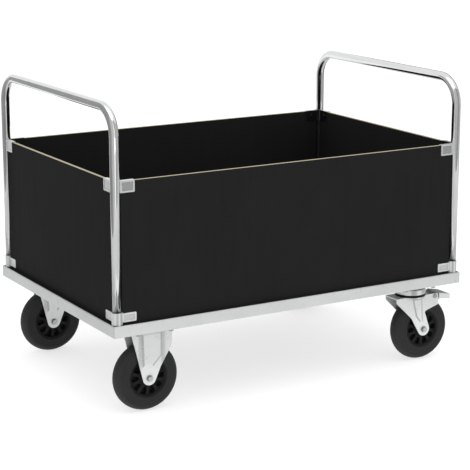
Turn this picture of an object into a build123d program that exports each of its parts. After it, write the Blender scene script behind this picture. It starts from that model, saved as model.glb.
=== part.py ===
from build123d import *
import math
import os

# Platform trolley with an open box of boards, millimetres.
# X runs along the deck, Y across it, Z is up.
# The origin is on the floor under the middle of the deck.
# The fixed castors are at -X and the braked swivel castors at +X.

os.makedirs("parts", exist_ok=True)

# --- platform ---
deck_length = 1200.0
deck_width = 800.0
rail_height = 34.0
rail_width = 35.0
rail_wall = 2.0
rim_thickness = 3.0
frame_corner_radius = 4.0
frame_edge_radius = 2.5
beam_width = 40.0
beam_wall = 2.0
board_thickness = 12.0
board_clearance = 1.0
deck_screw_radius = 2.5
deck_screw_head_radius = 5.0
deck_screw_length = 24.0
deck_screw_edge = 60.0

# --- hand bars ---
tube_diameter = 27.0
tube_wall = 2.0
post_margin = 6.5
post_hole_clearance = 0.5
bar_rise = 618.0
bar_bend_radius = 80.0

# --- box boards and their brackets ---
panel_height = 405.0
panel_thickness = 10.0
panel_end_clearance = 0.5
sheet = 2.0
wing_reach = 57.0
upper_bracket_height = 34.0
lower_bracket_height = 26.0
lower_bracket_lift = 6.0
sleeve_height = 36.0
weld_clearance = 0.1
corner_round = 3.0
recess_depth = 1.0
recess_margin = 5.0
bracket_screw_radius = 2.0
bracket_screw_bite = 8.0
bracket_screw_head_radius = 4.0
bracket_screw_head_height = 2.2
screw_clearance = 0.05

# --- wheels ---
wheel_diameter = 200.0
tyre_width = 50.0
tyre_crown = 13.0
tyre_lip = 4.0
rim_radius = 58.0
rim_width = 44.0
rim_shell = 6.0
rim_web = 7.0
hub_radius = 24.0
hub_length = 52.0
hub_side_gap = 1.0
rib_count = 10
rib_thickness = 8.0
bearing_radius = 17.0
sleeve_radius = 10.0
axle_radius = 5.0
running_clearance = 0.1
fit_clearance = 0.05

# --- castors ---
castor_inset_x = 139.0
castor_inset_y = 70.0
castor_plate_length = 135.0
castor_plate_width = 110.0
castor_plate = 4.0
bolt_pitch_x = 105.0
bolt_pitch_y = 92.0
bolt_radius = 4.0
bolt_head_width = 13.0
bolt_head_height = 5.3
nut_height = 6.5
hole_clearance = 0.3
fork_sheet = 3.5
fork_tip_radius = 21.0
crown_clearance = 7.0
race_height = 31.0
swivel_trail = 33.0
fixed_offset = -10.0
axle_head_width = 14.0
axle_head_height = 6.0
washer_radius = 9.5
washer_thickness = 1.6

# --- swivel head ---
kingpin_radius = 8.0
kingpin_head_radius = 14.0
kingpin_head_height = 5.5
race_radius = 48.0
race_neck_radius = 37.0
race_neck_height = 7.0
dish_radius = 40.0
ball_radius = 4.0
ball_circle_radius = 30.0
ball_count = 16
race_gap = 8.0

# --- brake ---
pedal_pivot_x = 41.0
pedal_pivot_drop = 5.0
pedal_pin_radius = 4.0
pedal_sheet = 2.5
pedal_reach = 98.0
pedal_width = 64.0
pedal_skirt = 15.0

# --- values that follow from those above ---
wheel_radius = wheel_diameter / 2
crown_bottom = wheel_diameter + crown_clearance
crown_top = crown_bottom + fork_sheet
plate_bottom = crown_top + race_height
plate_top = plate_bottom + castor_plate
deck_top = plate_top + rail_height
board_bottom = deck_top - board_thickness
beam_height = rail_height - board_thickness
half_length = deck_length / 2
half_width = deck_width / 2
inner_half_length = half_length - rail_width
inner_half_width = half_width - rail_width
tube_radius = tube_diameter / 2
post_inset = tube_radius + post_margin
post_x = half_length - post_inset
post_y = half_width - post_inset
castor_x = half_length - castor_inset_x
castor_y = half_width - castor_inset_y
cheek_inner = hub_length / 2 + hub_side_gap
cheek_outer = cheek_inner + fork_sheet
pedal_pivot_z = crown_bottom - wheel_radius - pedal_pivot_drop


def write(name, solids, color):
    """Write one node, one solid or several separate ones."""
    items = solids if isinstance(solids, (list, tuple)) else [solids]
    flat = [s for item in items for s in item.solids()]
    for solid in flat:
        solid.color = Color(*color)
    shape = flat[0] if len(flat) == 1 else Compound(children=flat)
    shape.label = name
    export_step(shape, f"parts/{name}.step")


def block(x0, x1, y0, y1, z0, z1):
    """A box between two corners."""
    size = Box(x1 - x0, y1 - y0, z1 - z0, align=(Align.MIN, Align.MIN, Align.MIN))
    return Pos(x0, y0, z0) * size


def rod(radius, z0, z1, x=0.0, y=0.0):
    """A vertical cylinder."""
    shape = Cylinder(radius, z1 - z0, align=(Align.CENTER, Align.CENTER, Align.MIN))
    return Pos(x, y, z0) * shape


def rod_y(radius, y0, y1, x=0.0, z=0.0):
    """A cylinder along Y."""
    return Pos(x, y0, z) * Rot(-90, 0, 0) * rod(radius, 0, y1 - y0)


def hexagon(width, z0, z1, x=0.0, y=0.0):
    """A vertical hexagon with the given width across its flats."""
    outline = RegularPolygon(width / 2, 6, major_radius=False)
    return Pos(x, y, z0) * extrude(outline, z1 - z0)


def hexagon_y(width, y0, y1, x=0.0, z=0.0):
    """A hexagon along Y."""
    return Pos(x, y0, z) * Rot(-90, 0, 0) * hexagon(width, 0, y1 - y0)


def plate_xz(points, y0, y1):
    """A flat plate drawn in X and Z, from y0 to y1."""
    outline = Polyline(*[(x, z) for x, z in points], close=True)
    face = make_face(outline)
    return Pos(0, y1, 0) * Rot(90, 0, 0) * extrude(face, y1 - y0)


def tangent_point(x, z, radius, side):
    """Where the tangent from (x, z) touches a circle about the origin."""
    distance = math.hypot(x, z)
    base = math.atan2(z, x)
    turn = side * math.acos(radius / distance)
    return radius * math.cos(base + turn), radius * math.sin(base + turn)


def mirrored(shape):
    """The same piece on the other side of the XZ plane."""
    return mirror(shape, about=Plane.XZ)


# --- materials, as plain colours ---
zinc = (0.78, 0.79, 0.79)
chrome = (0.85, 0.86, 0.87)
black_board = (0.05, 0.05, 0.05)
rubber = (0.10, 0.10, 0.11)
plastic = (0.03, 0.03, 0.03)
steel = (0.60, 0.61, 0.62)

corners = [(-1, -1, "front_left"), (1, -1, "front_right"), (-1, 1, "rear_left"), (1, 1, "rear_right")]
castor_sides = [(-1, "front"), (1, "rear")]

# --- frame: a mitred ring, a tube below the board with a rim around it ---
ring_outline = RectangleRounded(deck_length, deck_width, frame_corner_radius)
ring_outer = extrude(ring_outline, rail_height)
ring_outer = fillet(ring_outer.faces().sort_by(Axis.Z)[-1].edges(), frame_edge_radius)
ring_outer = fillet(ring_outer.faces().sort_by(Axis.Z)[0].edges(), frame_edge_radius)
ring_outer = Pos(0, 0, plate_top) * ring_outer
ring = ring_outer - block(
    -inner_half_length, inner_half_length, -inner_half_width, inner_half_width,
    plate_top - 1, deck_top + 1,
)
recess_outline = RectangleRounded(
    deck_length - 2 * rim_thickness, deck_width - 2 * rim_thickness,
    frame_corner_radius - rim_thickness,
)
ring -= Pos(0, 0, board_bottom) * extrude(recess_outline, board_thickness + 1)
core_outline = RectangleRounded(
    deck_length - 2 * rail_wall, deck_width - 2 * rail_wall, frame_corner_radius - rail_wall
)
core = Pos(0, 0, plate_top + rail_wall) * extrude(core_outline, beam_height - 2 * rail_wall)
core -= block(
    -inner_half_length - rail_wall, inner_half_length + rail_wall,
    -inner_half_width - rail_wall, inner_half_width + rail_wall,
    plate_top - 1, deck_top + 1,
)
ring -= core

bolt_points = []
for sx in (-1, 1):
    for sy in (-1, 1):
        for bx in (-1, 1):
            for by in (-1, 1):
                x = sx * castor_x + bx * bolt_pitch_x / 2
                y = sy * castor_y + by * bolt_pitch_y / 2
                bolt_points.append((x, y))
for x, y in bolt_points:
    ring -= rod(bolt_radius + hole_clearance, plate_top - 1, plate_top + rail_wall + 1, x, y)

reach = min(half_length, half_width) * 0.9
rail_cuts = {
    "frame_rail_front": [(-1, -1), (1, -1)],
    "frame_rail_rear": [(1, 1), (-1, 1)],
    "frame_rail_left": [(-1, 1), (-1, -1)],
    "frame_rail_right": [(1, -1), (1, 1)],
}
for name, ends in rail_cuts.items():
    outer = [(sx * (half_length + 1), sy * (half_width + 1)) for sx, sy in ends]
    inner = [(sx * (half_length + 1 - reach), sy * (half_width + 1 - reach)) for sx, sy in ends]
    wedge = make_face(Polyline(outer[0], outer[1], inner[1], inner[0], close=True))
    wedge = Pos(0, 0, plate_top - 1) * extrude(wedge, rail_height + 2)
    write(name, ring & wedge, zinc)

# --- cross beams, under the board and over the castor plates ---
beam_positions = [
    -castor_x - bolt_pitch_x / 2,
    -castor_x + bolt_pitch_x / 2,
    0.0,
    castor_x - bolt_pitch_x / 2,
    castor_x + bolt_pitch_x / 2,
]
deck_screw_points = []
for x in beam_positions:
    for y in (-inner_half_width + deck_screw_edge, 0.0, inner_half_width - deck_screw_edge):
        deck_screw_points.append((x, y))
for index, x in enumerate(beam_positions, start=1):
    half = beam_width / 2
    beam = block(x - half, x + half, -inner_half_width, inner_half_width, plate_top, board_bottom)
    beam -= block(
        x - half + beam_wall, x + half - beam_wall, -inner_half_width - 1, inner_half_width + 1,
        plate_top + beam_wall, board_bottom - beam_wall,
    )
    for bx, by in bolt_points:
        if abs(bx - x) < half and abs(by) < inner_half_width:
            beam -= rod(bolt_radius + hole_clearance, plate_top - 1, plate_top + beam_wall + 1, bx, by)
    for sx, sy in deck_screw_points:
        if sx == x:
            radius = deck_screw_radius + screw_clearance
            beam -= rod(radius, board_bottom - beam_wall - 1, board_bottom + 1, sx, sy)
    write(f"cross_beam_{index}", beam, zinc)

# --- deck board and the screws that hold it ---
board_edge = rim_thickness + board_clearance
board_outline = RectangleRounded(
    deck_length - 2 * board_edge, deck_width - 2 * board_edge, frame_corner_radius - rim_thickness
)
board = Pos(0, 0, board_bottom) * extrude(board_outline, board_thickness)
for sx, sy, corner in corners:
    hole = tube_radius + post_hole_clearance
    board -= rod(hole, board_bottom - 1, deck_top + 1, sx * post_x, sy * post_y)
screw_head_height = deck_screw_head_radius - deck_screw_radius
head_top = deck_top - 0.2
screws = []
for x, y in deck_screw_points:
    radius = deck_screw_radius + screw_clearance
    board -= rod(radius, board_bottom - 1, deck_top + 1, x, y)
    cone_height = screw_head_height + 0.2
    sink = Cone(
        radius, radius + cone_height, cone_height,
        align=(Align.CENTER, Align.CENTER, Align.MIN),
    )
    board -= Pos(x, y, deck_top - cone_height) * sink
    screw = rod(deck_screw_radius, deck_top - deck_screw_length, head_top - screw_head_height, x, y)
    head = Cone(
        deck_screw_radius, deck_screw_head_radius, screw_head_height,
        align=(Align.CENTER, Align.CENTER, Align.MIN),
    )
    screw += Pos(x, y, head_top - screw_head_height) * head
    screw -= block(x - 0.7, x + 0.7, y - 3.5, y + 3.5, head_top - 1.2, head_top + 1)
    screws.append(screw)
write("deck_board", board, black_board)
write("deck_screws", screws, steel)

# --- hand bars: one bent tube at each end ---
bar_center = deck_top + bar_rise - tube_radius
for sx, name in ((-1, "hand_bar_left"), (1, "hand_bar_right")):
    x = sx * post_x
    path = FilletPolyline(
        (x, -post_y, board_bottom), (x, -post_y, bar_center),
        (x, post_y, bar_center), (x, post_y, board_bottom),
        radius=bar_bend_radius,
    )
    section = Pos(x, -post_y, board_bottom) * (Circle(tube_radius) - Circle(tube_radius - tube_wall))
    write(name, sweep(section, path=path), chrome)

# --- brackets that clasp the board ends at each post ---
panel_top = deck_top + panel_height
half_panel = panel_thickness / 2
sleeve_inner = tube_radius + weld_clearance
sleeve_outer = sleeve_inner + sheet
wing_start = half_panel + 1.0


def wing(z0, z1, cap):
    """One wing along +X: outer and inner sheets, closed over the top if cap is set."""
    outer_sheet = block(wing_start, wing_reach, -half_panel - sheet, -half_panel, z0, z1)
    inner_sheet = block(wing_start, wing_reach, half_panel, half_panel + sheet, z0, z1)
    shape = outer_sheet + inner_sheet
    if cap:
        shape += block(wing_start, wing_reach, -half_panel - sheet, half_panel + sheet, z1 - sheet, z1)
    ends = shape.edges().filter_by(Axis.Y)
    ends = [e for e in ends if e.center().X > wing_reach - 0.01]
    if cap:
        ends = [e for e in ends if e.center().Z < z0 + 0.01]
    shape = fillet(ends, corner_round)
    pocket_start = tube_radius + recess_margin
    shape -= block(
        pocket_start, wing_reach - recess_margin,
        -half_panel - sheet - 1, -half_panel - sheet + recess_depth,
        z0 + recess_margin, z1 - recess_margin,
    )
    return shape


def screw_places(z0, z1):
    """Where the board screws sit on a wing: distance along it and height."""
    along = (tube_radius + wing_reach) / 2 + sheet
    return along, (z0 + z1) / 2


def corner_bracket(z0, z1, cap, sleeve_top):
    """A bracket for the corner whose inside faces +X and +Y, about its post."""
    along_x = wing(z0, z1, cap)
    along_y = mirror(Rot(0, 0, 90) * along_x, about=Plane.YZ)
    shape = along_x + along_y
    if cap:
        collar = rod(sleeve_outer, z0, z1) & block(0, wing_reach, 0, wing_reach, z0, z1)
    else:
        collar = rod(sleeve_outer, deck_top, sleeve_top)
    shape += collar
    shape -= rod(sleeve_inner, deck_top - 1, z1 + sleeve_top)
    gap = tube_radius + panel_end_clearance
    low = deck_top - 1
    high = panel_top if cap else max(z1, sleeve_top) + 1
    shape -= block(gap, wing_reach + 1, -half_panel, half_panel, low, high)
    shape -= block(-half_panel, half_panel, gap, wing_reach + 1, low, high)
    along, height = screw_places(z0, z1)
    hole = bracket_screw_radius + 2 * screw_clearance
    shape -= rod_y(hole, half_panel - 1, half_panel + sheet + 1, along, height)
    shape -= Pos(half_panel - 1, along, height) * Rot(0, 90, 0) * rod(hole, 0, sheet + 2)
    return shape


upper_low = panel_top + sheet - upper_bracket_height
upper_high = panel_top + sheet
lower_low = deck_top + lower_bracket_lift
lower_high = lower_low + lower_bracket_height
upper_bracket = corner_bracket(upper_low, upper_high, True, 0)
lower_bracket = corner_bracket(lower_low, lower_high, False, deck_top + sleeve_height)


def place_at_corner(shape, sx, sy):
    """Turn a piece drawn for the (-X, -Y) corner to another corner."""
    if sx > 0:
        shape = mirror(shape, about=Plane.YZ)
    if sy > 0:
        shape = mirror(shape, about=Plane.XZ)
    return Pos(sx * post_x, sy * post_y, 0) * shape


for sx, sy, corner in corners:
    write(f"upper_bracket_{corner}", place_at_corner(upper_bracket, sx, sy), zinc)
    write(f"lower_bracket_{corner}", place_at_corner(lower_bracket, sx, sy), zinc)

# --- boards, with pilot holes for the bracket screws ---
bracket_screws = []
pilot_holes = {"front": [], "rear": [], "left": [], "right": []}
for z0, z1 in ((upper_low, upper_high), (lower_low, lower_high)):
    along, height = screw_places(z0, z1)
    face = half_panel + sheet
    screw = rod_y(bracket_screw_radius, half_panel - bracket_screw_bite, face, along, height)
    head = rod_y(bracket_screw_head_radius, face, face + bracket_screw_head_height, along, height)
    head = fillet(head.edges().sort_by(Axis.Y)[-1], bracket_screw_head_height * 0.5)
    head -= block(
        along - 2.6, along + 2.6, face + bracket_screw_head_height - 1, face + 5,
        height - 0.5, height + 0.5,
    )
    screw += head
    hole_radius = bracket_screw_radius + screw_clearance
    hole = rod_y(hole_radius, half_panel - bracket_screw_bite - 0.5, half_panel + 1, along, height)
    for sx, sy, corner in corners:
        bracket_screws.append(place_at_corner(screw, sx, sy))
        pilot_holes["front" if sy < 0 else "rear"].append(place_at_corner(hole, sx, sy))
        turned = mirror(Rot(0, 0, 90) * screw, about=Plane.YZ)
        turned_hole = mirror(Rot(0, 0, 90) * hole, about=Plane.YZ)
        bracket_screws.append(place_at_corner(turned, sx, sy))
        pilot_holes["left" if sx < 0 else "right"].append(place_at_corner(turned_hole, sx, sy))
write("bracket_screws", bracket_screws, steel)

panel_end = tube_radius + panel_end_clearance
for side, sy in (("front", -1), ("rear", 1)):
    y = sy * post_y
    panel = block(
        -post_x + panel_end, post_x - panel_end, y - half_panel, y + half_panel, deck_top, panel_top
    )
    for hole in pilot_holes[side]:
        panel -= hole
    write(f"side_board_{side}", panel, black_board)
for side, sx in (("left", -1), ("right", 1)):
    x = sx * post_x
    panel = block(
        x - half_panel, x + half_panel, -post_y + panel_end, post_y - panel_end, deck_top, panel_top
    )
    for hole in pilot_holes[side]:
        panel -= hole
    write(f"end_board_{side}", panel, black_board)

# --- castor plate bolts, with weld nuts inside the tubes ---
bolts = []
nuts = []
for x, y in bolt_points:
    bolt = hexagon(bolt_head_width, plate_bottom - bolt_head_height, plate_bottom, x, y)
    bolt += rod(bolt_radius, plate_bottom, plate_top + rail_wall + nut_height + 2, x, y)
    bolts.append(bolt)
    nut = hexagon(bolt_head_width, plate_top + rail_wall, plate_top + rail_wall + nut_height, x, y)
    nut -= rod(bolt_radius + fit_clearance, plate_top, plate_top + rail_height, x, y)
    nuts.append(nut)
write("castor_bolts", bolts, steel)
write("castor_nuts", nuts, steel)


def castor_top_plate():
    """The bolted plate of a castor, about its centre."""
    half_x = castor_plate_length / 2
    half_y = castor_plate_width / 2
    shape = block(-half_x, half_x, -half_y, half_y, plate_bottom, plate_top)
    shape = fillet(shape.edges().filter_by(Axis.Z), 8)
    for bx in (-1, 1):
        for by in (-1, 1):
            shape -= rod(
                bolt_radius + hole_clearance, plate_bottom - 1, plate_top + 1,
                bx * bolt_pitch_x / 2, by * bolt_pitch_y / 2,
            )
    return shape


def cheek(points, radius):
    """A fork cheek on the -Y side, about the axle, with its axle hole."""
    shape = plate_xz(points, -cheek_outer, -cheek_inner)
    shape += rod_y(radius, -cheek_outer, -cheek_inner)
    return shape


def raised_panel(points, slope, depth):
    """A panel pressed out of the -Y cheek, with sloping sides."""
    outline = make_face(Polyline(*points, close=True))
    top = offset(outline, amount=-slope, kind=Kind.INTERSECTION)
    panel = loft([outline, Pos(0, 0, depth) * top.face()])
    return Pos(0, -cheek_outer, 0) * Rot(90, 0, 0) * panel


axle_hole = rod_y(axle_radius + hole_clearance, -cheek_outer - 10, cheek_outer + 10)

# --- fixed fork: outline about the axle, up to the castor plate ---
leg_top = plate_bottom - wheel_radius
leg_front = -56.0
leg_back = 74.0
leg_shoulder_drop = 52.0
leg_knee_x = 36.0
leg_knee_z = 30.0
left_touch = tangent_point(leg_front, leg_top, fork_tip_radius, 1)
right_touch = tangent_point(leg_knee_x, leg_knee_z, fork_tip_radius, -1)
leg_points = [
    (leg_front, leg_top), left_touch, (0, 0), right_touch, (leg_knee_x, leg_knee_z),
    (leg_back - 2, leg_top - leg_shoulder_drop), (leg_back, leg_top),
]
fixed_cheek = cheek(leg_points, fork_tip_radius)
shoulder = fixed_cheek.edges().filter_by(Axis.Y).sort_by(lambda e: -e.center().X)[1]
fixed_cheek = fillet(shoulder, 24)
emboss_depth = 2.2
emboss_slope = 6.0
emboss_points = [
    (-25, leg_top - 6), (-22, 34), (12, 34), (41, leg_top - 78), (41, leg_top - 6),
]
fixed_cheek += raised_panel(emboss_points, emboss_slope, emboss_depth)
fixed_fork = fixed_cheek + mirrored(fixed_cheek)
fixed_fork -= axle_hole


def axle_set():
    """Axle bolt, washers, nut and the sleeve clamped between the cheeks."""
    head_face = -cheek_outer - washer_thickness
    nut_face = cheek_outer + washer_thickness
    bolt = hexagon_y(axle_head_width, head_face - axle_head_height, head_face)
    bolt += rod_y(axle_radius, head_face, nut_face + axle_head_height + 4)
    washer = rod_y(washer_radius, head_face, -cheek_outer)
    washer -= rod_y(axle_radius + fit_clearance, head_face - 1, 0)
    far_washer = rod_y(washer_radius, cheek_outer, nut_face)
    far_washer -= rod_y(axle_radius + fit_clearance, 0, nut_face + 1)
    nut = hexagon_y(axle_head_width, nut_face, nut_face + axle_head_height)
    nut -= rod_y(axle_radius + fit_clearance, 0, nut_face + axle_head_height + 1)
    tube = rod_y(sleeve_radius, -cheek_inner, cheek_inner)
    tube -= rod_y(axle_radius + fit_clearance, -cheek_inner - 1, cheek_inner + 1)
    return [bolt, washer, far_washer, nut, tube]


def ring_solid(points):
    """Turn a closed profile, given as (radius, y) pairs, about the Y axis."""
    face = make_face(Polyline(*points, close=True))
    return revolve(face, Axis.Y)


def wheel_pieces():
    """Tyre, rim and bearing of one wheel, about its axle."""
    half = tyre_width / 2
    shoulder_radius = wheel_radius - tyre_crown
    side = Line((rim_radius + fit_clearance, -half + 3), (rim_radius + tyre_lip, -half))
    wall = Line(side @ 1, (shoulder_radius, -half))
    tread = ThreePointArc(wall @ 1, (wheel_radius, 0), (shoulder_radius, half))
    wall_back = Line(tread @ 1, (rim_radius + tyre_lip, half))
    side_back = Line(wall_back @ 1, (rim_radius + fit_clearance, half - 3))
    inside = Line(side_back @ 1, side @ 0)
    tyre = revolve(make_face([side, wall, tread, wall_back, side_back, inside]), Axis.Y)

    half_rim = rim_width / 2
    shell_inner = rim_radius - rim_shell
    rim = ring_solid([
        (shell_inner, -half_rim), (rim_radius, -half_rim), (rim_radius, half_rim),
        (shell_inner, half_rim),
    ])
    rim += ring_solid([
        (hub_radius - 2, -rim_web / 2), (shell_inner + 1, -rim_web / 2),
        (shell_inner + 1, rim_web / 2), (hub_radius - 2, rim_web / 2),
    ])
    rim += ring_solid([
        (bearing_radius + fit_clearance, -hub_length / 2), (hub_radius - 3, -hub_length / 2),
        (hub_radius, -hub_length / 2 + 6), (hub_radius, hub_length / 2 - 6),
        (hub_radius - 3, hub_length / 2), (bearing_radius + fit_clearance, hub_length / 2),
    ])
    rib_outline = [
        (hub_radius - 2, -half_rim + 1), (shell_inner + 1, -half_rim + 5),
        (shell_inner + 1, half_rim - 5), (hub_radius - 2, half_rim - 1),
    ]
    rib_face = make_face(Polyline(*rib_outline, close=True))
    rib = Pos(0, 0, -rib_thickness / 2) * extrude(rib_face, rib_thickness)
    for step in range(rib_count):
        rim += Rot(0, 360 / rib_count * (step + 0.5), 0) * rib

    bearing = ring_solid([
        (sleeve_radius + running_clearance, -hub_length / 2), (bearing_radius, -hub_length / 2),
        (bearing_radius, hub_length / 2), (sleeve_radius + running_clearance, hub_length / 2),
    ])
    groove_radius = (sleeve_radius + bearing_radius) / 2
    for y in (-hub_length / 2, hub_length / 2):
        bearing -= Pos(0, y, 0) * Rot(90, 0, 0) * Torus(groove_radius, 1.5)
    return tyre, rim, bearing


tyre, rim, bearing = wheel_pieces()
axle_pieces = axle_set()

# --- swivel fork: outline about the axle; the swivel axis is at -swivel_trail ---
top = crown_top - wheel_radius
crown_front = -105.0
crown_back = 20.0
nose_z = top - 14.0
knee_x = -47.0
knee_z = 40.0
step_x = 2.0
step_z = 58.0
lobe_x = 53.0
lobe_z = 74.0
left_touch = tangent_point(knee_x, knee_z, fork_tip_radius, 1)
right_touch = tangent_point(step_x, step_z, fork_tip_radius, -1)
swivel_points = [
    (crown_front, top), (crown_front, nose_z), (knee_x, knee_z), left_touch, (0, 0), right_touch,
    (step_x, step_z), (lobe_x, lobe_z), (lobe_x, top),
]
swivel_cheek = cheek(swivel_points, fork_tip_radius)
upright = swivel_cheek.edges().filter_by(Axis.Y)
swivel_cheek = fillet(upright.sort_by(lambda e: math.hypot(e.center().X - knee_x, e.center().Z - knee_z))[0], 40)
upright = swivel_cheek.edges().filter_by(Axis.Y)
swivel_cheek = fillet(upright.sort_by(lambda e: math.hypot(e.center().X - step_x, e.center().Z - step_z))[0], 6)
upright = swivel_cheek.edges().filter_by(Axis.Y)
swivel_cheek = fillet(upright.sort_by(lambda e: math.hypot(e.center().X - lobe_x, e.center().Z - top))[0], 8)
rib_points = [(-46, top - 8), (-31, 44), (-15, 24), (-4, 24), (-9, top - 8)]
swivel_cheek += raised_panel(rib_points, 4.5, 1.5)
swivel_fork = swivel_cheek + mirrored(swivel_cheek)
swivel_fork += block(crown_front, crown_back, -cheek_outer, cheek_outer, crown_bottom - wheel_radius, top)
head_x = -swivel_trail
swivel_fork += rod(race_radius, crown_bottom - wheel_radius, top, head_x, 0)
ball_z = top + race_gap + (race_height - race_gap - race_neck_height) * 0.45
dish_top = ball_z - 2.1
swivel_fork += rod(dish_radius, top, dish_top, head_x, 0)
swivel_fork -= rod(kingpin_radius + 0.08, top - 50, top + 50, head_x, 0)
swivel_fork -= Pos(head_x, 0, ball_z) * Torus(ball_circle_radius, ball_radius + running_clearance)
swivel_fork -= axle_hole
swivel_fork -= rod_y(pedal_pin_radius + fit_clearance, -60, 60, pedal_pivot_x, pedal_pivot_z)

# --- swivel head: plate with its race cap, kingpin and balls, about the axle ---
cap_top = plate_bottom - wheel_radius
cap_bottom = top + race_gap
cap = rod(race_radius, cap_bottom, cap_top - race_neck_height, head_x, 0)
cap = fillet(cap.edges().filter_by(GeomType.CIRCLE).sort_by(Axis.Z)[-1], 3)
cap += rod(race_neck_radius, cap_top - race_neck_height - 1, cap_top, head_x, 0)
cap -= rod(dish_radius + 3, cap_bottom - 1, ball_z + 2.1, head_x, 0)
swivel_plate = cap + Pos(head_x, 0, -wheel_radius) * castor_top_plate()
swivel_plate -= rod(kingpin_radius + fit_clearance, cap_bottom - 1, cap_top + 50, head_x, 0)
swivel_plate -= Pos(head_x, 0, ball_z) * Torus(ball_circle_radius, ball_radius + running_clearance)

pin_bottom = crown_bottom - wheel_radius - 0.3
kingpin = rod(kingpin_head_radius, pin_bottom - kingpin_head_height, pin_bottom, head_x, 0)
kingpin = chamfer(kingpin.edges().filter_by(GeomType.CIRCLE).sort_by(Axis.Z)[0], 1.5)
kingpin += rod(kingpin_radius, pin_bottom, cap_top + castor_plate + 1, head_x, 0)
pin_nut_bottom = cap_top + castor_plate
kingpin += hexagon(24, pin_nut_bottom, pin_nut_bottom + 8, head_x, 0)

balls = []
for step in range(ball_count):
    angle = 2 * math.pi * step / ball_count
    x = head_x + ball_circle_radius * math.cos(angle)
    y = ball_circle_radius * math.sin(angle)
    balls.append(Pos(x, y, ball_z) * Sphere(ball_radius))

# --- brake pedal: tread, side arms and a shoe bar over the tyre, about the axle ---
arm_outer = cheek_inner - 0.6
arm_inner = arm_outer - pedal_sheet
tread_start = lobe_x + 3.0
tread_z0 = pedal_pivot_z + 8.0
tread_z1 = pedal_pivot_z
arm_points = [
    (pedal_pivot_x, pedal_pivot_z - 7), (tread_start + 6, pedal_pivot_z - 14),
    (tread_start + 6, tread_z0), (pedal_pivot_x, pedal_pivot_z + 7),
]
arm = plate_xz(arm_points, -arm_outer, -arm_inner)
arm += rod_y(7, -arm_outer, -arm_inner, pedal_pivot_x, pedal_pivot_z)
tread_points = [
    (tread_start, tread_z0), (pedal_reach, tread_z1),
    (pedal_reach, tread_z1 - pedal_sheet), (tread_start, tread_z0 - pedal_sheet),
]
half_pedal = pedal_width / 2
tread = plate_xz(tread_points, -half_pedal, half_pedal)
lip_points = [
    (pedal_reach - pedal_sheet, tread_z1), (pedal_reach, tread_z1),
    (pedal_reach, tread_z1 - pedal_skirt), (pedal_reach - pedal_sheet, tread_z1 - pedal_skirt),
]
skirt_points = [
    (tread_start, tread_z0), (pedal_reach, tread_z1), (pedal_reach, tread_z1 - pedal_skirt),
    (tread_start + 8, tread_z0 - pedal_skirt - 4), (tread_start, tread_z0 - pedal_skirt + 4),
]
skirt = plate_xz(skirt_points, -half_pedal, -half_pedal + pedal_sheet)
web = block(
    tread_start, tread_start + pedal_sheet, -half_pedal, half_pedal,
    tread_z0 - 14, tread_z0 - 0.5,
)
pedal = tread + plate_xz(lip_points, -half_pedal, half_pedal) + skirt + mirrored(skirt)
pedal += arm + mirrored(arm) + web
shoe_x = tread_start + 2.5
shoe_z = pedal_pivot_z - 11.5
pedal += rod_y(3, -arm_outer, arm_outer, shoe_x, shoe_z)
for step in range(3):
    x = tread_start + 12 + 9 * step
    z = tread_z0 + (tread_z1 - tread_z0) * (x - tread_start) / (pedal_reach - tread_start)
    pedal += rod_y(1.2, -half_pedal + 8, half_pedal - 8, x, z)
pedal -= rod_y(pedal_pin_radius + running_clearance, -60, 60, pedal_pivot_x, pedal_pivot_z)

pivot = rod_y(pedal_pin_radius, -cheek_outer, cheek_outer, pedal_pivot_x, pedal_pivot_z)
for sy in (-1, 1):
    y0 = min(sy * cheek_outer, sy * (cheek_outer + 3))
    pivot += rod_y(pedal_pin_radius + 2.5, y0, y0 + 3, pedal_pivot_x, pedal_pivot_z)

# --- place the four castors ---
for sy, side in castor_sides:
    fixed_place = Pos(-castor_x + fixed_offset, sy * castor_y, wheel_radius)
    swivel_place = Pos(castor_x + swivel_trail, sy * castor_y, wheel_radius)
    plate = Pos(-fixed_offset, 0, -wheel_radius) * castor_top_plate()
    write(f"fixed_fork_{side}", fixed_place * (fixed_fork + plate), zinc)
    write(f"fixed_axle_{side}", [fixed_place * piece for piece in axle_pieces], steel)
    write(f"swivel_plate_{side}", swivel_place * swivel_plate, zinc)
    write(f"swivel_kingpin_{side}", swivel_place * kingpin, steel)
    write(f"swivel_balls_{side}", [swivel_place * ball for ball in balls], steel)
    write(f"swivel_fork_{side}", swivel_place * swivel_fork, zinc)
    write(f"swivel_axle_{side}", [swivel_place * piece for piece in axle_pieces], steel)
    write(f"brake_pedal_{side}", swivel_place * pedal, zinc)
    write(f"brake_pivot_{side}", swivel_place * pivot, steel)
    for kind, place in (("fixed", fixed_place), ("swivel", swivel_place)):
        write(f"{kind}_tyre_{side}", place * tyre, rubber)
        write(f"{kind}_rim_{side}", place * rim, plastic)
        write(f"{kind}_bearing_{side}", place * bearing, steel)
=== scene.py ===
"""Looks for the platform trolley: materials, finer wheels and tubes, a plain studio, the camera."""
import math

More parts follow.
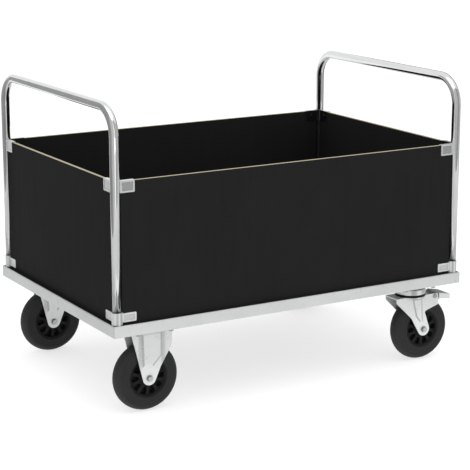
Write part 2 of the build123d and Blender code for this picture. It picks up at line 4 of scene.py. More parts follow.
import bmesh
import bpy
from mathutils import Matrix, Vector


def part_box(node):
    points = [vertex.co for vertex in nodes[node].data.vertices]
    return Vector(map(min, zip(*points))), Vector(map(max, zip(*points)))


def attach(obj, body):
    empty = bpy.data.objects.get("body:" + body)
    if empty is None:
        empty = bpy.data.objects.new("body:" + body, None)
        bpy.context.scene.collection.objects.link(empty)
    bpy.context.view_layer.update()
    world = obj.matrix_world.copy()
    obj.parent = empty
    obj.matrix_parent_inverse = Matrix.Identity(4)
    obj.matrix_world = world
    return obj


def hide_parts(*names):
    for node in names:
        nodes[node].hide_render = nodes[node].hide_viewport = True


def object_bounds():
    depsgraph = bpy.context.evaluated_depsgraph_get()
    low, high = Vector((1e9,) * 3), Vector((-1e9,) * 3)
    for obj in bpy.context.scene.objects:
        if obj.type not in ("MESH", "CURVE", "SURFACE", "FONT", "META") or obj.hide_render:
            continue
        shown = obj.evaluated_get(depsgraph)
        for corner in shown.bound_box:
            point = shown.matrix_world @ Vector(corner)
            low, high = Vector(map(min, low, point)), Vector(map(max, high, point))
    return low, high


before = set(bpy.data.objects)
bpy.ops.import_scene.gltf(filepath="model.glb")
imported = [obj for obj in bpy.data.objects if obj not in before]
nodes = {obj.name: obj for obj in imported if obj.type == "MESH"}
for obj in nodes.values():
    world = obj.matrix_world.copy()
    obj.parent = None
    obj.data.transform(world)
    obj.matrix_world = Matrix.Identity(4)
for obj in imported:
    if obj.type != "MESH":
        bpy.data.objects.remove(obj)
cad_low, cad_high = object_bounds()
MM = 0.001
SIDES = ("front", "rear")
KINDS = ("fixed", "swivel")
WHEEL_RADIUS = 0.1
CASTOR_TRAIL = 0.033


def wheel_centre(kind, side):
    low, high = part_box(f"{kind}_tyre_{side}")
    return (low + high) / 2


# ---------------------------------------------------------------- materials
# Painted shade for crevices and joints.
CREASE_SHADE = (0.14, 0.14, 0.14)
# Painted shade on pressed faces that lean along X, and in bands where the fixed forks' raised panel
# slopes.
SLOPE_SHADE_ZINC = (0.22, 0.225, 0.225)
# Painted shade on the upper brackets' faces across Y.
SHADED_ZINC = (0.28, 0.285, 0.285)
# Painted shade in the brackets' sunk panels.
RECESS_SHADE_ZINC = (0.17, 0.175, 0.175)
# Painted shade, near black, on the bracket plates inside the box.
INSIDE_BOX_SHADE = (0.010, 0.010, 0.010)
# How far inside the frame's edge the corner brackets' sunk panels and their borders lie.
PANEL_FLOOR, PANEL_BORDER = 0.0138, 0.0132
# Heights above the lower brackets and below the upper ones.
OVER_LOWER_BRACKETS, UNDER_UPPER_BRACKETS = 0.33, 0.60
# Bands of painted shade where the fixed forks' raised panel slopes: places along X from the axle,
# how far each reaches to its sides, and the heights between which it fades out.
EMBOSS_SHADE_PLACES = (-0.0275, 0.044)
EMBOSS_SHADE_CORE, EMBOSS_SHADE_EDGE = 0.002, 0.010
EMBOSS_SHADE_GONE, EMBOSS_SHADE_FULL = 0.125, 0.150
# Distances from the axle at which the tyre's wall turns into tread, and at which its fine rings
# start and end.
TREAD_START, TREAD_FULL = 0.084, 0.094
RINGS_START, RINGS_END, RING_PITCH, RING_FADE = 0.066, 0.077, 0.0021, 0.003


class Recipe:
    """A Principled material whose node tree is built one node at a time."""

    def __init__(self, name, metallic=0.0, specular=0.5):
        self.material = bpy.data.materials.new(name)
        self.material.use_nodes = True
        self.tree = self.material.node_tree
        self.shader = self.tree.nodes["Principled BSDF"]
        self.shader.inputs["Metallic"].default_value = metallic
        self.shader.inputs["Specular IOR Level"].default_value = specular
        coordinates = self.node("ShaderNodeTexCoord")
        self.place = coordinates.outputs["Object"]
        self.facing = coordinates.outputs["Normal"]

    def feed(self, socket, value):
        if isinstance(value, bpy.types.NodeSocket):
            self.tree.links.new(value, socket)
        else:
            socket.default_value = value

    def node(self, kind, inputs=None, **settings):
        made = self.tree.nodes.new(kind)
        for key, value in settings.items():
            setattr(made, key, value)
        for key, value in (inputs or {}).items():
            self.feed(made.inputs[key], value)
        return made

    def vector(self, operation, a, b):
        return self.node("ShaderNodeVectorMath", {0: a, 1: b}, operation=operation).outputs[0]

    def moved(self, centre=(0, 0, 0), stretch=(1, 1, 1), source=None):
        """A place on the object, measured from centre and stretched along the axes."""
        shifted = self.vector("SUBTRACT", source or self.place, centre)
        return self.vector("MULTIPLY", shifted, stretch)

    def noise(self, scale, detail=3.0, stretch=(1, 1, 1), rough=0.55, source=None):
        place = self.moved(stretch=stretch, source=source)
        inputs = {"Vector": place, "Scale": scale, "Detail": detail, "Roughness": rough}
        return self.node("ShaderNodeTexNoise", inputs).outputs["Fac"]

    def cells(self, scale, output):
        inputs = {"Vector": self.place, "Scale": scale}
        return self.node("ShaderNodeTexVoronoi", inputs).outputs[output]

    def math(self, operation, a, b=0.0):
        return self.node("ShaderNodeMath", {0: a, 1: b}, operation=operation).outputs[0]

    def times(self, a, b):
        return self.math("MULTIPLY", a, b)

    def minus(self, a, b):
        return self.math("SUBTRACT", a, b)

    def larger(self, a, b):
        return self.math("MAXIMUM", a, b)

    def unsigned(self, a):
        return self.math("ABSOLUTE", a)

    def spread(self, value, low, high, to_low=0.0, to_high=1.0, smooth=False):
        """Maps value from low..high to to_low..to_high, clamped at both ends."""
        limits = {"From Min": low, "From Max": high, "To Min": to_low, "To Max": to_high}
        kind = "SMOOTHSTEP" if smooth else "LINEAR"
        made = self.node("ShaderNodeMapRange", {"Value": value, **limits}, interpolation_type=kind)
        return made.outputs["Result"]

    def axis(self, name, source=None):
        """The X, Y or Z part of source, or of the place on the object."""
        return self.node("ShaderNodeSeparateXYZ", {0: source or self.place}).outputs[name]

    def off_middle(self, name):
        """The distance from the trolley's middle along an axis."""
        return self.unsigned(self.axis(name))

    def turned_to(self, name, low, high):
        """One where the surface faces along an axis, either way, and nought where it doesn't."""
        return self.spread(self.unsigned(self.axis(name, self.facing)), low, high)

    def mix(self, factor, first, second):
        made = self.node("ShaderNodeMix", data_type="RGBA")
        for index, value in ((0, factor), (6, first), (7, second)):
            if isinstance(value, tuple):
                value = (*value, 1.0)
            self.feed(made.inputs[index], value)
        return made.outputs[2]

    def bump(self, height, distance, strength=1.0, normal=None):
        inputs = {"Height": height, "Distance": distance, "Strength": strength}
        if normal is not None:
            inputs["Normal"] = normal
        return self.node("ShaderNodeBump", inputs).outputs["Normal"]

    def soft_edges(self, radius):
        """A normal that rounds sharp edges over the given radius."""
        return self.node("ShaderNodeBevel", {"Radius": radius}, samples=4).outputs["Normal"]

    def crease_shade(self, reach, amount):
        """Painted shade in crevices and joints narrower than reach, laid on by ambient occlusion.
        """
        made = self.node("ShaderNodeAmbientOcclusion", {"Distance": reach}, samples=6)
        return self.spread(made.outputs["AO"], 0.25, 0.85, amount, 0.0)

    def finish(self, color, roughness, normal=None):
        self.feed(self.shader.inputs["Base Color"], color)
        self.feed(self.shader.inputs["Roughness"], roughness)
        if normal is not None:
            self.feed(self.shader.inputs["Normal"], normal)
        return self.material


def zinc_rail():
    """Bright zinc on drawn tube: faint spangle, draw lines, scuffs and ground corner seams."""
    r = Recipe("zinc_rail", metallic=0.6)
    spangle = r.axis("X", r.cells(140.0, "Color"))
    cloud = r.noise(6.0, 4.0)
    lines = r.noise(90.0, 3.0, stretch=(0.06, 0.06, 5.0))
    tint = r.mix(r.spread(cloud, 0.3, 0.7), (0.62, 0.635, 0.635), (0.69, 0.70, 0.695))
    tint = r.mix(r.spread(spangle, 0.0, 1.0, 0.0, 0.12), tint, (0.76, 0.77, 0.77))
    scuff = r.spread(r.noise(28.0, 6.0, rough=0.7), 0.60, 0.72)
    tint = r.mix(r.times(scuff, 0.35), tint, (0.41, 0.42, 0.43))
    patchy = r.spread(r.noise(160.0, 3.0), 0.3, 0.6, 0.35, 0.8)
    seam = r.times(corner_seam(r, width=0.0011, tube=0.040), patchy)
    tint = r.mix(seam, tint, (0.25, 0.255, 0.26))
    # Painted shade in crevices and joints.
    tint = r.mix(r.crease_shade(0.012, 0.6), tint, CREASE_SHADE)
    rough = r.math("ADD", r.spread(lines, 0.2, 0.8, 0.30, 0.42), r.times(scuff, 0.10))
    height = r.minus(r.times(lines, 0.3), seam)
    return r.finish(tint, rough, r.bump(height, 0.00025, 0.4, r.soft_edges(0.0012)))


def corner_seam(r, width, tube):
    """One on the mitre line at each corner of the frame, over the tube's width; else nought."""
    from_end = r.minus(cad_high.x, r.off_middle("X"))
    from_side = r.minus(cad_high.y, r.off_middle("Y"))
    near = r.spread(r.larger(from_end, from_side), tube - 0.003, tube, 1.0, 0.0)
    off_line = r.unsigned(r.minus(from_end, from_side))
    return r.times(r.spread(off_line, width * 0.4, width, 1.0, 0.0), near)


def zinc_pressed(name, is_bracket=False, mark_places=()):
    """Bright zinc on pressed sheet: smoother than the tube, with soft waves left by the press.
    It has painted shade on faces that lean along X and in crevices.

    mark_places are the two X places, in metres, of bands of painted shade where the raised panel
    slopes.
    """
    r = Recipe(name, metallic=0.4)
    cloud = r.noise(16.0, 4.0)
    waves = r.noise(34.0, 2.0)
    grit = r.noise(900.0, 3.0)
    tint = r.mix(r.spread(cloud, 0.3, 0.7), (0.63, 0.645, 0.645), (0.70, 0.705, 0.70))
    stain = r.spread(r.noise(42.0, 5.0, rough=0.7), 0.58, 0.74)
    tint = r.mix(r.times(stain, 0.3), tint, (0.42, 0.43, 0.44))
    if is_bracket:
        tint = bracket_panels(r, tint, cloud)
    # Painted shade on faces across Y that lean along X, and in bands on the fixed forks.
    side = r.turned_to("Y", 0.80, 0.88)
    slope_shade = r.times(r.turned_to("X", 0.08, 0.26), side)
    if mark_places:
        slope_shade = r.larger(slope_shade, r.times(emboss_shade_bands(r, mark_places), side))
    tint = r.mix(r.times(slope_shade, r.spread(cloud, 0.3, 0.7, 0.5, 0.75)), tint, SLOPE_SHADE_ZINC)
    # Painted shade in crevices and joints.
    tint = r.mix(r.crease_shade(0.012, 0.6), tint, CREASE_SHADE)
    rough = r.spread(cloud, 0.3, 0.7, 0.24, 0.36)
    normal = r.bump(grit, 0.00005, 0.25, r.bump(waves, 0.0004, 0.3, r.soft_edges(0.0008)))
    return r.finish(tint, rough, normal)


def bracket_panels(r, tint, cloud):
    """Darkens the brackets with painted shade: the upper ones' faces across Y, the sunk panels, the
    upper ones more, and the plates inside the box to near black.
    """
    # Painted shade on the upper brackets' faces across Y.
    upper = r.spread(r.axis("Z"), OVER_LOWER_BRACKETS, UNDER_UPPER_BRACKETS)
    shaded = r.times(upper, r.turned_to("Y", 0.7, 0.9))
    tint = r.mix(r.times(shaded, 0.3), tint, SHADED_ZINC)
    # Painted shade in the sunk panels, deeper on the upper brackets.
    on_side = r.times(sunk_panel(r, "Y", cad_high.y), r.spread(upper, 0.0, 1.0, 0.3, 0.75))
    on_end = r.times(sunk_panel(r, "X", cad_high.x), 0.12)
    sunk = r.larger(on_side, on_end)
    tint = r.mix(r.times(sunk, r.spread(cloud, 0.3, 0.7, 0.75, 1.0)), tint, RECESS_SHADE_ZINC)
    # Painted shade, near black, on the plates inside the box.
    within_ends = within(r, "X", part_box("end_board_right")[0].x)
    within_sides = within(r, "Y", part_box("side_board_rear")[0].y)
    return r.mix(r.times(within_ends, within_sides), tint, INSIDE_BOX_SHADE)


def sunk_panel(r, name, edge):
    """One on a bracket's sunk panel across an axis, where edge is the frame's; else nought."""
    off_middle = r.off_middle(name)
    behind = r.spread(off_middle, edge - PANEL_FLOOR, edge - PANEL_BORDER, 1.0, 0.0)
    return r.times(behind, r.turned_to(name, 0.8, 0.9))


def within(r, name, limit):
    """One nearer the trolley's middle than limit along an axis, and nought beyond."""
    return r.spread(r.off_middle(name), limit, limit + 0.0004, 1.0, 0.0)


def emboss_shade_bands(r, places):
    """Bands of painted shade where the raised panel slopes, at two places along X, fading out
    downwards.
    """
    marks = []
    for place in places:
        off = r.unsigned(r.minus(r.axis("X"), place))
        marks.append(r.spread(off, EMBOSS_SHADE_CORE, EMBOSS_SHADE_EDGE, 0.65, 0.0, smooth=True))
    return r.times(r.larger(*marks), r.spread(r.axis("Z"), EMBOSS_SHADE_GONE, EMBOSS_SHADE_FULL))


def hardware_steel(name, dark, light, metallic):
    """Bolts, nuts and screws: duller than the sheet, with dark specks."""
    r = Recipe(name, metallic=metallic)
    specks = r.spread(r.noise(420.0, 4.0), 0.35, 0.7)
    tint = r.mix(specks, dark, light)
    # Painted shade in crevices and joints.
    tint = r.mix(r.crease_shade(0.004, 0.6), tint, (0.02, 0.02, 0.02))
    rough = r.spread(specks, 0.0, 1.0, 0.42, 0.28)
    return r.finish(tint, rough, r.bump(specks, 0.00008, 0.4, r.soft_edges(0.0004)))


def chromed_tube():
    """Bright plated tube with faint polishing marks and handling smears."""
    r = Recipe("chromed_tube", metallic=1.0)
    unrolled = r.node("ShaderNodeAttribute", attribute_name="unrolled").outputs["Vector"]
    smear = r.noise(22.0, 4.0, stretch=(1, 1, 0.5), source=unrolled)
    polish = r.noise(160.0, 3.0, stretch=(1, 1, 0.05), source=unrolled)
    tint = r.mix(r.spread(smear, 0.35, 0.7), (0.70, 0.71, 0.715), (0.77, 0.775, 0.77))
    smeared = r.spread(smear, 0.3, 0.7, 0.05, 0.13)
    rough = r.math("ADD", smeared, r.spread(polish, 0.3, 0.7, 0.0, 0.03))
    return r.finish(tint, rough, r.bump(polish, 0.00003, 0.25))


def film_board(name, across, sample):
    """Black film over plywood, with plies on the top edge and the other ends as black as the film.

    across is the axis through the board's thickness, and sample a node of that board or its
    opposite.
    """
    low, high = (getattr(corner, across.lower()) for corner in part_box(sample))
    middle, thickness = abs(low + high) / 2, high - low
    r = Recipe(name)
    r.shader.inputs["IOR"].default_value = 1.075
    edge = r.turned_to("Z", 0.45, 0.75)
    if across == "Z":
        edge = r.minus(1.0, edge)
    grain_stretch = {"X": (1, 0.5, 0.05), "Y": (0.5, 1, 0.05), "Z": (0.04, 0.5, 1)}[across]
    grain = r.noise(120.0, 4.0, stretch=grain_stretch)
    cloud = r.noise(3.5, 3.0)
    film = r.mix(r.spread(grain, 0.3, 0.7), (0.0125, 0.0125, 0.0127), (0.0143, 0.0143, 0.0143))
    film = r.mix(r.spread(cloud, 0.35, 0.65, 0.0, 0.35), film, (0.0165, 0.0165, 0.0165))
    rub = r.spread(r.noise(48.0, 7.0, rough=0.75), 0.66, 0.74)
    film = r.mix(r.times(rub, 0.35), film, (0.035, 0.034, 0.033))
    depth = r.minus(r.off_middle(across), middle)
    wave = r.math("COSINE", r.times(depth, 4 * math.pi / thickness))
    plies = r.times(wave, -1.0)
    fibre = r.noise(700.0, 4.0, stretch=(0.25, 0.25, 0.25))
    wood = r.mix(r.spread(plies, -0.5, 0.5), (0.33, 0.285, 0.205), (0.60, 0.545, 0.42))
    wood = r.mix(r.spread(fibre, 0.35, 0.7, 0.0, 0.4), wood, (0.27, 0.225, 0.155))
    color = r.mix(edge, film, wood)
    rough = r.math("ADD", r.spread(grain, 0.3, 0.7, 0.42, 0.55), r.times(edge, 0.3))
    height = r.math("ADD", r.times(grain, 0.6), r.times(r.times(plies, edge), 0.5))
    return r.finish(color, rough, r.bump(height, 0.00015, 0.4))


def tyre_rubber(name, centre):
    """Solid dark grey rubber: a dusty tread, a satin wall and fine moulding rings."""
    r = Recipe(name)
    r.shader.inputs["IOR"].default_value = 1.25
    around = r.moved(centre=centre, stretch=(1, 0, 1))
    length = r.node("ShaderNodeVectorMath", {0: around}, operation="LENGTH")
    radius = length.outputs["Value"]
    tread = r.spread(radius, TREAD_START, TREAD_FULL, smooth=True)
    speck = r.noise(520.0, 4.0)
    cloud = r.noise(24.0, 4.0)
    wall = r.mix(r.spread(cloud, 0.3, 0.7), (0.0155, 0.0155, 0.0165), (0.0215, 0.0215, 0.0230))
    dusty = r.mix(r.spread(speck, 0.35, 0.7), (0.024, 0.024, 0.025), (0.042, 0.041, 0.040))
    color = r.mix(r.times(tread, 0.55), wall, dusty)
    rings = r.math("SINE", r.times(radius, 2 * math.pi / RING_PITCH))
    beyond_start = r.spread(radius, RINGS_START, RINGS_START + RING_FADE)
    before_end = r.spread(radius, RINGS_END - RING_FADE, RINGS_END, 1.0, 0.0)
    ring_zone = r.times(beyond_start, before_end)
    rough = r.spread(cloud, 0.3, 0.7, 0.52, 0.68)
    height = r.math("ADD", r.times(speck, 0.5), r.times(r.times(rings, ring_zone), 0.35))
    return r.finish(color, rough, r.bump(height, 0.00022, 0.5))


def moulded_plastic():
    """Black nylon rim: fine moulded grain with a little bloom."""
    r = Recipe("moulded_plastic")
    r.shader.inputs["IOR"].default_value = 1.22
    grain = r.cells(1300.0, "Distance")
    cloud = r.noise(30.0, 4.0)
    color = r.mix(r.spread(cloud, 0.35, 0.7), (0.0045, 0.0045, 0.0048), (0.010, 0.010, 0.0105))
    rough = r.spread(cloud, 0.3, 0.7, 0.38, 0.52)
    return r.finish(color, rough, r.bump(grain, 0.00008, 0.4))


fixed_axle_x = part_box("fixed_tyre_front")[0].x + WHEEL_RADIUS
RAIL = zinc_rail()
PRESSED = zinc_pressed("zinc_pressed")
BRACKET = zinc_pressed("zinc_bracket", is_bracket=True)
FIXED_FORK = zinc_pressed("zinc_fixed_fork", mark_places=[fixed_axle_x + x for x in EMBOSS_SHADE_PLACES])
STEEL = hardware_steel("hardware_steel", (0.34, 0.345, 0.35), (0.55, 0.555, 0.55), 1.0)
BLACK_STEEL = hardware_steel("blackened_screws", (0.006, 0.006, 0.006), (0.012, 0.012, 0.012), 0.2)
CHROME = chromed_tube()
PLASTIC = moulded_plastic()
TYRES = {
    (kind, side): tyre_rubber(f"tyre_{kind}_{side}", tuple(wheel_centre(kind, side)))
    for kind in KINDS
    for side in SIDES
}

# The material of each CAD node whose name starts so. All other nodes are plain steel hardware.
LOOKS = [
    ("frame_rail", RAIL),
    ("cross_beam", RAIL),
    ("upper_bracket", BRACKET),
    ("lower_bracket", BRACKET),
    ("bracket_screws", BLACK_STEEL),
    ("fixed_fork", FIXED_FORK),
    ("swivel_plate", PRESSED),
    ("swivel_fork", PRESSED),
    ("brake_pedal", PRESSED),
    ("hand_bar", CHROME),
    ("side_board", film_board("film_side_boards", "Y", "side_board_front")),
    ("end_board", film_board("film_end_boards", "X", "end_board_left")),
    ("deck_board", film_board("film_deck", "Z", "deck_board")),
    ("fixed_rim", PLASTIC),
    ("swivel_rim", PLASTIC),
]
LOOKS += [(f"{kind}_tyre_{side}", rubber) for (kind, side), rubber in TYRES.items()]

for name, node in nodes.items():
    look = next((material for start, material in LOOKS if name.startswith(start)), STEEL)
    node.data.materials.clear()
    node.data.materials.append(look)


# ---------------------------------------------------------------- finer pieces
# Sections are in mm. The tyre's and the rim's are pairs of radius and distance from the wheel's
# middle plane, and the seal's are pairs of radius and height above the fork's crown.
TYRE_WALL = (
    (58.1, 22.0), (59.2, 23.0), (60.2, 23.9), (61.6, 24.7), (63.2, 25.0),
    (67.0, 25.0), (67.5, 24.6), (68.5, 24.6), (69.0, 25.0), (76.0, 24.95),
    (76.5, 24.6), (77.3, 24.6), (77.8, 24.9), (84.0, 24.8), (86.0, 24.5),
)
TREAD_CURVE, TREAD_HALF_ANGLE, TREAD_STEPS = 30.54, 50.0, 10
RIM_FACE = (
    (17.1, 26.0), (21.0, 26.0), (24.5, 22.5), (27.0, 19.0),
    (50.0, 17.0), (53.0, 21.0), (55.0, 22.0), (58.0, 22.0),
)
RIM_EDGE, RIM_EDGE_BEVEL = 58.0, 0.8
POCKETS = 10
POCKET_MIDDLE, POCKET_HALF_LENGTH = 39.5, 12.0
# The pocket's outline is a superellipse of this power, and its wall rises over this share of it.
POCKET_ROUNDING = 3.2
POCKET_WALL_START, POCKET_WALL_RUN = 0.72, 0.26
SPOKE_HALF_WIDTH, WEB_HALF_THICKNESS = 4.2, 4.2
SEAL_SECTION = (
    (44.4, 0.4), (46.2, 0.4), (46.9, 1.6), (46.4, 3.2), (46.9, 4.8), (46.2, 7.6), (44.4, 7.6),
)
CROWN_OVER_TYRE = 10.5
TUBE_BEND, TUBE_WALL, BEND_STEPS = 80.0, 2.0, 24


def add_piece(name, verts, faces, material):
    """A new smooth mesh object from points in metres and faces."""
    mesh = bpy.data.meshes.new(name)
    mesh.from_pydata(verts, [], faces)
    shell = bmesh.new()
    shell.from_mesh(mesh)
    bmesh.ops.recalc_face_normals(shell, faces=shell.faces)
    shell.to_mesh(mesh)
    shell.free()
    mesh.polygons.foreach_set("use_smooth", [True] * len(mesh.polygons))
    mesh.materials.append(material)
    made = bpy.data.objects.new(name, mesh)
    bpy.context.scene.collection.objects.link(made)
    return made


def around_circle(count):
    """The cosine and sine of evenly spaced directions."""
    angles = [2 * math.pi * k / count for k in range(count)]
    return [(math.cos(angle), math.sin(angle)) for angle in angles]


def ring_faces(rings, around):
    """Quads between neighbouring rings of points, the last ring joined to the first."""
    faces = []
    for i in range(rings):
        j = (i + 1) % rings
        for k in range(around):
            m = (k + 1) % around
            faces.append((i * around + k, i * around + m, j * around + m, j * around + k))
    return faces


def smooth_step(t):
    t = min(max(t, 0.0), 1.0)
    return t * t * (3 - 2 * t)


def tyre_profile():
    """Half of the tyre's section, from the bead up to the crown."""
    points = list(TYRE_WALL)
    for step in range(TREAD_STEPS + 1):
        angle = math.radians(TREAD_HALF_ANGLE * (1 - step / TREAD_STEPS))
        drop = TREAD_CURVE * (1 - math.cos(angle))
        points.append((WHEEL_RADIUS / MM - drop, TREAD_CURVE * math.sin(angle)))
    return points


def make_tyre(kind, side):
    """A solid tyre turned about its axle, with a bead, two moulded rings and a round tread."""
    centre = wheel_centre(kind, side)
    half = tyre_profile()
    section = [(r, -w) for r, w in half] + [(r, w) for r, w in reversed(half[:-1])]
    around = 168
    verts = []
    for radius, across in section:
        for cosine, sine in around_circle(around):
            verts.append(centre + Vector((radius * cosine, across, radius * sine)) * MM)
    faces = ring_faces(len(section), around)
    made = add_piece(f"tyre_{kind}_{side}", verts, faces, TYRES[kind, side])
    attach(made, f"wheel_{kind}_{side}")
    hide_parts(f"{kind}_tyre_{side}")


def rim_depth(radius, angle):
    """How far the rim's face stands from the wheel's middle plane, in mm."""
    base = RIM_FACE[-1][1]
    for (r0, d0), (r1, d1) in zip(RIM_FACE, RIM_FACE[1:]):
        if radius <= r1:
            base = d0 + (d1 - d0) * smooth_step((radius - r0) / (r1 - r0))
            break
    step = 2 * math.pi / POCKETS
    off = (angle + step / 2) % step - step / 2
    along = (radius - POCKET_MIDDLE) / POCKET_HALF_LENGTH
    across = off * radius / max(radius * step / 2 - SPOKE_HALF_WIDTH, 1.0)
    size = (abs(along) ** POCKET_ROUNDING + abs(across) ** POCKET_ROUNDING) ** (1 / POCKET_ROUNDING)
    pocket = 1 - smooth_step((size - POCKET_WALL_START) / POCKET_WALL_RUN)
    return base + (WEB_HALF_THICKNESS - base) * pocket


def make_rim(kind, side):
    """A moulded rim with rounded pockets on each face."""
    centre = wheel_centre(kind, side)
    around = 280
    hub = [17.1, 19.0, 20.6, 21.8, 23.0, 24.5, 26.0]
    web = [27.0 + 0.8 * i for i in range(32)]
    flange = [53.0, 54.0, 55.0, 56.5, 57.4]
    radii = hub + web + flange
    rings = [(r, 1) for r in radii] + [(RIM_EDGE, 1), (RIM_EDGE, -1)]
    rings += [(r, -1) for r in reversed(radii)]
    verts = []
    for radius, face in rings:
        for k, (cosine, sine) in enumerate(around_circle(around)):
            depth = rim_depth(radius, 2 * math.pi * k / around)
            if radius == RIM_EDGE:
                depth -= RIM_EDGE_BEVEL
            verts.append(centre + Vector((radius * cosine, face * depth, radius * sine)) * MM)
    faces = ring_faces(len(rings), around)
    made = add_piece(f"rim_{kind}_{side}", verts, faces, PLASTIC)
    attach(made, f"wheel_{kind}_{side}")
    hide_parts(f"{kind}_rim_{side}")


def bar_path(x, half_span, low, high, bend):
    """Points and directions of an upside-down U, low at both ends, with round bends."""
    path = [(Vector((x, -half_span, low)), Vector((0, 0, 1)))]
    for turn, sign in ((0, -1), (1, 1)):
        middle = Vector((x, sign * (half_span - bend), high - bend))
        for step in range(BEND_STEPS + 1):
            angle = math.pi / 2 * step / BEND_STEPS + turn * math.pi / 2
            out = Vector((0, -math.cos(angle), math.sin(angle)))
            path.append((middle + out * bend, Vector((0, math.sin(angle), math.cos(angle)))))
    path.append((Vector((x, half_span, low)), Vector((0, 0, -1))))
    return path


def make_hand_bar(name):
    """One bent tube. Its attribute unrolled gives each point's place on the tube laid straight."""
    low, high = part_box(name)
    radius = (high.x - low.x) / 2
    x = (low.x + high.x) / 2
    path = bar_path(x, high.y - radius, low.z, high.z - radius, TUBE_BEND * MM)
    travelled = [0.0]
    for (here, _), (there, _) in zip(path, path[1:]):
        travelled.append(travelled[-1] + (there - here).length)
    steps = range(len(path))
    rings = [(radius, i) for i in steps] + [(radius - TUBE_WALL * MM, i) for i in reversed(steps)]
    around = 72
    sideways = Vector((1, 0, 0))
    verts, unrolled = [], []
    for reach, index in rings:
        spot, heading = path[index]
        outward = heading.cross(sideways)
        for cosine, sine in around_circle(around):
            verts.append(spot + (sideways * cosine + outward * sine) * reach)
            unrolled += (reach * cosine, reach * sine, travelled[index])
    made = add_piece(name + "_tube", verts, ring_faces(len(rings), around), CHROME)
    attribute = made.data.attributes.new("unrolled", "FLOAT_VECTOR", "POINT")
    attribute.data.foreach_set("vector", unrolled)
    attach(made, "chassis")
    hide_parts(name)


def make_seal(side):
    """A black rubber lip that closes the gap between the ball race and the fork's crown."""
    centre = wheel_centre("swivel", side)
    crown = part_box(f"swivel_tyre_{side}")[1].z + CROWN_OVER_TYRE * MM
    pivot = Vector((centre.x - CASTOR_TRAIL, centre.y, crown))
    around = 96
    verts = []
    for radius, height in SEAL_SECTION:
        for cosine, sine in around_circle(around):
            verts.append(pivot + Vector((radius * cosine, radius * sine, height)) * MM)
    faces = ring_faces(len(SEAL_SECTION), around)
    made = add_piece(f"race_seal_{side}", verts, faces, PLASTIC)
    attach(made, f"swivel_{side}")


for kind in KINDS:
    for side in SIDES:
        make_tyre(kind, side)
        make_rim(kind, side)
for side in SIDES:
    make_seal(side)
for name in ("hand_bar_left", "hand_bar_right"):
    make_hand_bar(name)


# ---------------------------------------------------------------- studio
FLOOR_HALF, FLOOR_GAP = 60.0, 0.0002
CARD_FOOT, CARD_TOP, LEVEL_CARD_HEIGHT = 0.11, 1.6, 0.1
LEVEL_CARD_GREY = 0.72
CAMERA_PLACE = (-2.499, -4.315, 1.576)
CAMERA_LENS, CAMERA_DOWN, CAMERA_TURN = 125.5, 13.4, 30.28
# Each light's name, place, target, width and height, and watts.
LIGHTS = (
    ("top_soft", (-0.6, -0.8, 3.4), (0, 0, 0.3), (3.2, 2.4), 25.0),
    ("front_soft", (0.6, -4.2, 1.6), (0, 0, 0.4), (2.4, 1.6), 8.0),
    ("right_soft", (3.0, -1.4, 1.1), (0.5, -0.3, 0.2), (1.2, 1.2), 7.0),
    ("low_soft", (0.2, -2.9, 0.35), (0.2, 0, 0.17), (2.8, 0.4), 5.0),
)
# Each upright card's name, the two ends of its foot and its grey.
UPRIGHT_CARDS = (
    ("card_left", (-0.95, -0.457), (-0.95, 1.35), 0.38),
    ("card_left_pale", (-0.95, -0.95), (-0.95, -0.457), 0.60),
    ("card_back_left", (-2.2, 1.5), (-0.97, 1.5), 0.03),
    ("card_front_1", (-0.95, -0.95), (-0.825, -0.95), 0.60),
    ("card_front_2", (-0.543, -0.95), (-0.318, -0.95), 0.38),
    ("card_front_3", (-0.318, -0.95), (0.288, -0.95), 0.68),
    ("card_front_4", (0.288, -0.95), (0.617, -0.95), 0.60),
    ("card_front_5", (0.617, -0.95), (1.5, -0.95), 0.36),
    ("card_right", (1.6, -0.95), (1.6, 0.2), 0.5),
    ("card_back_right", (1.6, 0.2), (1.6, 1.7), 0.03),
)
# Each level card's name and two opposite corners. Together they lie round the trolley.
LEVEL_CARDS = (
    ("card_low_front", (-0.95, -0.95), (1.6, -0.46)),
    ("card_low_left", (-0.95, -0.46), (-0.66, 1.35)),
    ("card_low_right", (0.66, -0.46), (1.6, 1.35)),
    ("card_low_back", (-0.66, 0.46), (0.66, 1.35)),
)


def add_sheet(name, corners, recipe, grey, roughness):
    """A flat four-cornered backdrop in one matt grey."""
    mesh = bpy.data.meshes.new(name)
    mesh.from_pydata(corners, [], [(0, 1, 2, 3)])
    made = bpy.data.objects.new(name, mesh)
    bpy.context.scene.collection.objects.link(made)
    mesh.materials.append(recipe.finish((grey, grey, grey, 1.0), roughness))
    return made


def level_corners(low, high, z):
    return [(low[0], low[1], z), (high[0], low[1], z), (high[0], high[1], z), (low[0], high[1], z)]


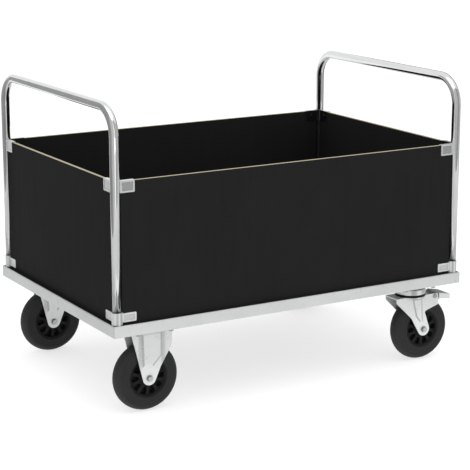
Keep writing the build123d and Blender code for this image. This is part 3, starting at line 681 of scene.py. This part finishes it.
def add_floor():
    """A wide white floor that glows a little, so that the trolley's shadow stays faint."""
    r = Recipe("floor_white", specular=0.1)
    r.shader.inputs["Emission Color"].default_value = (1.0, 1.0, 1.0, 1.0)
    r.shader.inputs["Emission Strength"].default_value = 0.66
    corners = level_corners((-FLOOR_HALF, -FLOOR_HALF), (FLOOR_HALF, FLOOR_HALF), 0)
    made = add_sheet("floor", corners, r, 0.45, 0.9)
    made.location.z = cad_low.z - FLOOR_GAP


def add_card(name, corners, grey):
    """A card that only reflections see. It gives the chromed tube its grey streaks."""
    made = add_sheet(name, corners, Recipe(name, specular=0.0), grey, 1.0)
    made.visible_camera = False
    made.visible_shadow = False
    made.visible_diffuse = False


def add_light(name, place, target, size, power):
    data = bpy.data.lights.new(name, "AREA")
    data.shape = "RECTANGLE"
    data.size, data.size_y = size
    data.energy = power
    made = bpy.data.objects.new(name, data)
    made.location = place
    towards = Vector(target) - Vector(place)
    made.rotation_euler = towards.to_track_quat("-Z", "Y").to_euler()
    bpy.context.scene.collection.objects.link(made)


def add_world():
    world = bpy.data.worlds.new("studio")
    world.use_nodes = True
    background = world.node_tree.nodes["Background"]
    background.inputs["Color"].default_value = (1.0, 1.0, 1.0, 1.0)
    background.inputs["Strength"].default_value = 1.0
    bpy.context.scene.world = world
    bpy.context.scene.view_settings.view_transform = "Standard"


def add_camera():
    """Stands where the photograph was taken from, and looks slightly down, without shift."""
    data = bpy.data.cameras.new("camera")
    data.sensor_width = 36.0
    data.lens = CAMERA_LENS
    data.clip_end = 200.0
    made = bpy.data.objects.new("camera", data)
    made.location = CAMERA_PLACE
    made.rotation_euler = (math.radians(90 - CAMERA_DOWN), 0, math.radians(-CAMERA_TURN))
    bpy.context.scene.collection.objects.link(made)
    bpy.context.scene.camera = made


add_world()
add_floor()
for light in LIGHTS:
    add_light(*light)
for name, start, stop, grey in UPRIGHT_CARDS:
    foot_to_top = [(*start, CARD_FOOT), (*stop, CARD_FOOT), (*stop, CARD_TOP), (*start, CARD_TOP)]
    add_card(name, foot_to_top, grey)
for name, near, far in LEVEL_CARDS:
    add_card(name, level_corners(near, far, LEVEL_CARD_HEIGHT), LEVEL_CARD_GREY)
add_camera()
